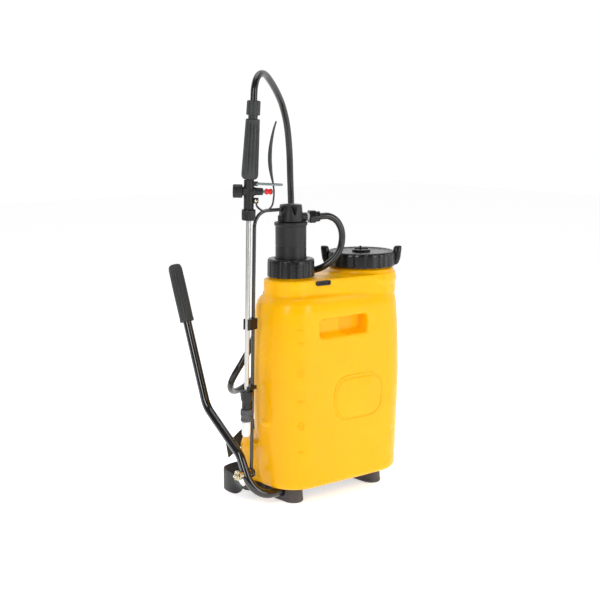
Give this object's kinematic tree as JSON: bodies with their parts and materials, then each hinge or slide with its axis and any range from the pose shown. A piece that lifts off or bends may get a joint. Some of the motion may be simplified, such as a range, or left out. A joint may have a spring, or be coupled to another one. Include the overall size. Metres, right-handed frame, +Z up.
{
  "type": "backpack sprayer",
  "caption": "Lever-operated backpack sprayer with a moulded tank, an upright piston pump, a screwed lid, a clipped trigger lance, a hose and a harness.",
  "frame": {"origin": "on the floor, at the middle of the part's plan without the hose", "axes": "+X across the tank, with the lever and lance on the -X side; -Y out of the front; +Y towards the wearer; +Z up"},
  "size_m": [0.3684, 0.3026, 0.7601],
  "materials": {
    "tank_plastic": "translucent moulded polyethylene, satin",
    "black_plastic": "moulded, fine texture",
    "grey_plastic": "moulded, ribbed",
    "pale_plastic": "moulded, smooth",
    "red_plastic": "moulded, smooth",
    "painted_steel": "gloss black paint",
    "zinc_steel": "zinc plated",
    "lance_metal": "drawn tube",
    "rubber": "matte",
    "webbing": "woven polypropylene",
    "hose_rubber": "smooth, slightly glossy"
  },
  "bodies": {
    "root": {"tank": "tank_plastic", "strap_anchor_plug": "black_plastic", "base_frame": "black_plastic", "base_screw_left": "zinc_steel", "base_screw_right": "zinc_steel", "neck_gasket": "rubber", "pump_cylinder": "pale_plastic", "ring_nut": "black_plastic", "suction_strainer": "pale_plastic", "harness_anchor": "black_plastic", "shoulder_pad_left": "webbing", "shoulder_pad_right": "webbing", "strap_buckle_left": "black_plastic", "strap_buckle_right": "black_plastic", "strap_webbing_left": "webbing", "strap_webbing_right": "webbing", "hose_2": "hose_rubber"},
    "lever": {"lever_tube": "painted_steel", "lever_grip": "grey_plastic", "lever_pin": "zinc_steel", "lever_bush": "zinc_steel", "lever_washer": "zinc_steel", "pin_clip": "zinc_steel", "axle_cap": "black_plastic"},
    "pump": {"pump_chamber": "black_plastic", "piston_cup": "rubber", "piston_retainer": "pale_plastic", "pump_head": "black_plastic", "outlet_stub": "pale_plastic", "outlet_nut": "black_plastic", "rod_split_pin": "zinc_steel", "hose_1": "hose_rubber"},
    "rod": {"pump_rod": "painted_steel", "lance_clip_upper": "black_plastic", "lance_clip_lower": "black_plastic", "hose_3": "hose_rubber"},
    "lance": {"lance_tube": "lance_metal", "nozzle_body": "black_plastic", "lance_union_nut": "black_plastic", "lance_seal": "rubber", "valve_body": "black_plastic", "valve_cap": "black_plastic", "valve_spring": "zinc_steel", "trigger_pin": "zinc_steel", "handle_grip": "grey_plastic", "hose_union_nut": "grey_plastic", "hose_4": "hose_rubber"},
    "trigger": {"trigger": "painted_steel"},
    "valve_stem": {"valve_stem": "zinc_steel", "stem_button": "red_plastic"},
    "lock_bail": {"trigger_lock": "zinc_steel"},
    "nozzle": {"nozzle_cap": "grey_plastic", "nozzle_tip": "pale_plastic"},
    "lid_seal": {"lid_gasket": "rubber"},
    "lid": {"lid": "black_plastic", "vent_cap": "black_plastic", "vent_peg": "grey_plastic"},
    "strainer": {"strainer_basket": "grey_plastic"},
    "suction_ball": {"suction_ball": "zinc_steel"},
    "discharge_ball": {"discharge_ball": "zinc_steel"}
  },
  "joints": [
    {"name": "lever_pump_stroke", "type": "hinge", "parent": "root", "child": "lever", "pos_m": [-0.15403, -0.09226, 0.019], "axis": [-1, 0, 0], "range_deg": [0, 42]},
    {"name": "pump_slide", "type": "slide", "parent": "root", "child": "pump", "axis": [0, 0, -1], "range_m": [0, 0.0245], "deforming": ["hose_1", "hose_2"]},
    {"name": "rod_swing", "type": "hinge", "parent": "pump", "child": "rod", "pos_m": [-0.14203, -0.08426, 0.522], "axis": [1, 0, 0], "range_deg": [0, 2.8], "deforming": ["hose_3"]},
    {"name": "lance_unclip", "type": "slide", "parent": "rod", "child": "lance", "axis": [-0.9848, -0.1735, -0.0051], "range_m": [0, 0.06], "deforming": ["hose_4"]},
    {"name": "trigger_squeeze", "type": "hinge", "parent": "lance", "child": "trigger", "pos_m": [-0.14723, -0.09547, 0.54154], "axis": [-0.6426, -0.7659, -0.0223], "range_deg": [0, 7], "stiffness_Nm_per_rad": 1.5, "springref_deg": -5.73},
    {"name": "valve_stem_slide", "type": "slide", "parent": "lance", "child": "valve_stem", "axis": [-0.7662, 0.6424, 0.0187], "range_m": [0, 0.0017]},
    {"name": "trigger_lock_swing", "type": "hinge", "parent": "lance", "child": "lock_bail", "pos_m": [-0.14723, -0.0963, 0.57002], "axis": [0.6426, 0.7659, 0.0223], "range_deg": [0, 25]},
    {"name": "nozzle_turn", "type": "hinge", "parent": "lance", "child": "nozzle", "pos_m": [-0.1568, -0.07633, 0.15993], "axis": [0, -0.0291, 0.9996], "range_deg": [-180, 180]},
    {"name": "lid_lift", "type": "slide", "parent": "root", "child": "lid_seal", "axis": [0, 0, 1], "range_m": [0, 0.1]},
    {"name": "lid_turn", "type": "hinge", "parent": "lid_seal", "child": "lid", "pos_m": [0.10647, -0.08426, 0.42], "axis": [0, 0, 1], "continuous": true},
    {"name": "strainer_lift", "type": "slide", "parent": "root", "child": "strainer", "axis": [0, 0, 1], "range_m": [0, 0.061]},
    {"name": "suction_ball_lift", "type": "slide", "parent": "root", "child": "suction_ball", "axis": [0, 0, 1], "range_m": [0, 0.003]},
    {"name": "discharge_ball_lift", "type": "slide", "parent": "pump", "child": "discharge_ball", "axis": [0, 0, 1], "range_m": [0, 0.003]}
  ],
  "couplings": [
    {"joint": "pump_slide", "follows": "lever_pump_stroke", "m_per_rad": 0.033},
    {"joint": "rod_swing", "follows": "lever_pump_stroke", "ratio": 0.065},
    {"joint": "valve_stem_slide", "follows": "trigger_squeeze", "m_per_rad": 0.0131},
    {"joint": "strainer_lift", "follows": "lid_lift", "ratio": 0.6}
  ]
}
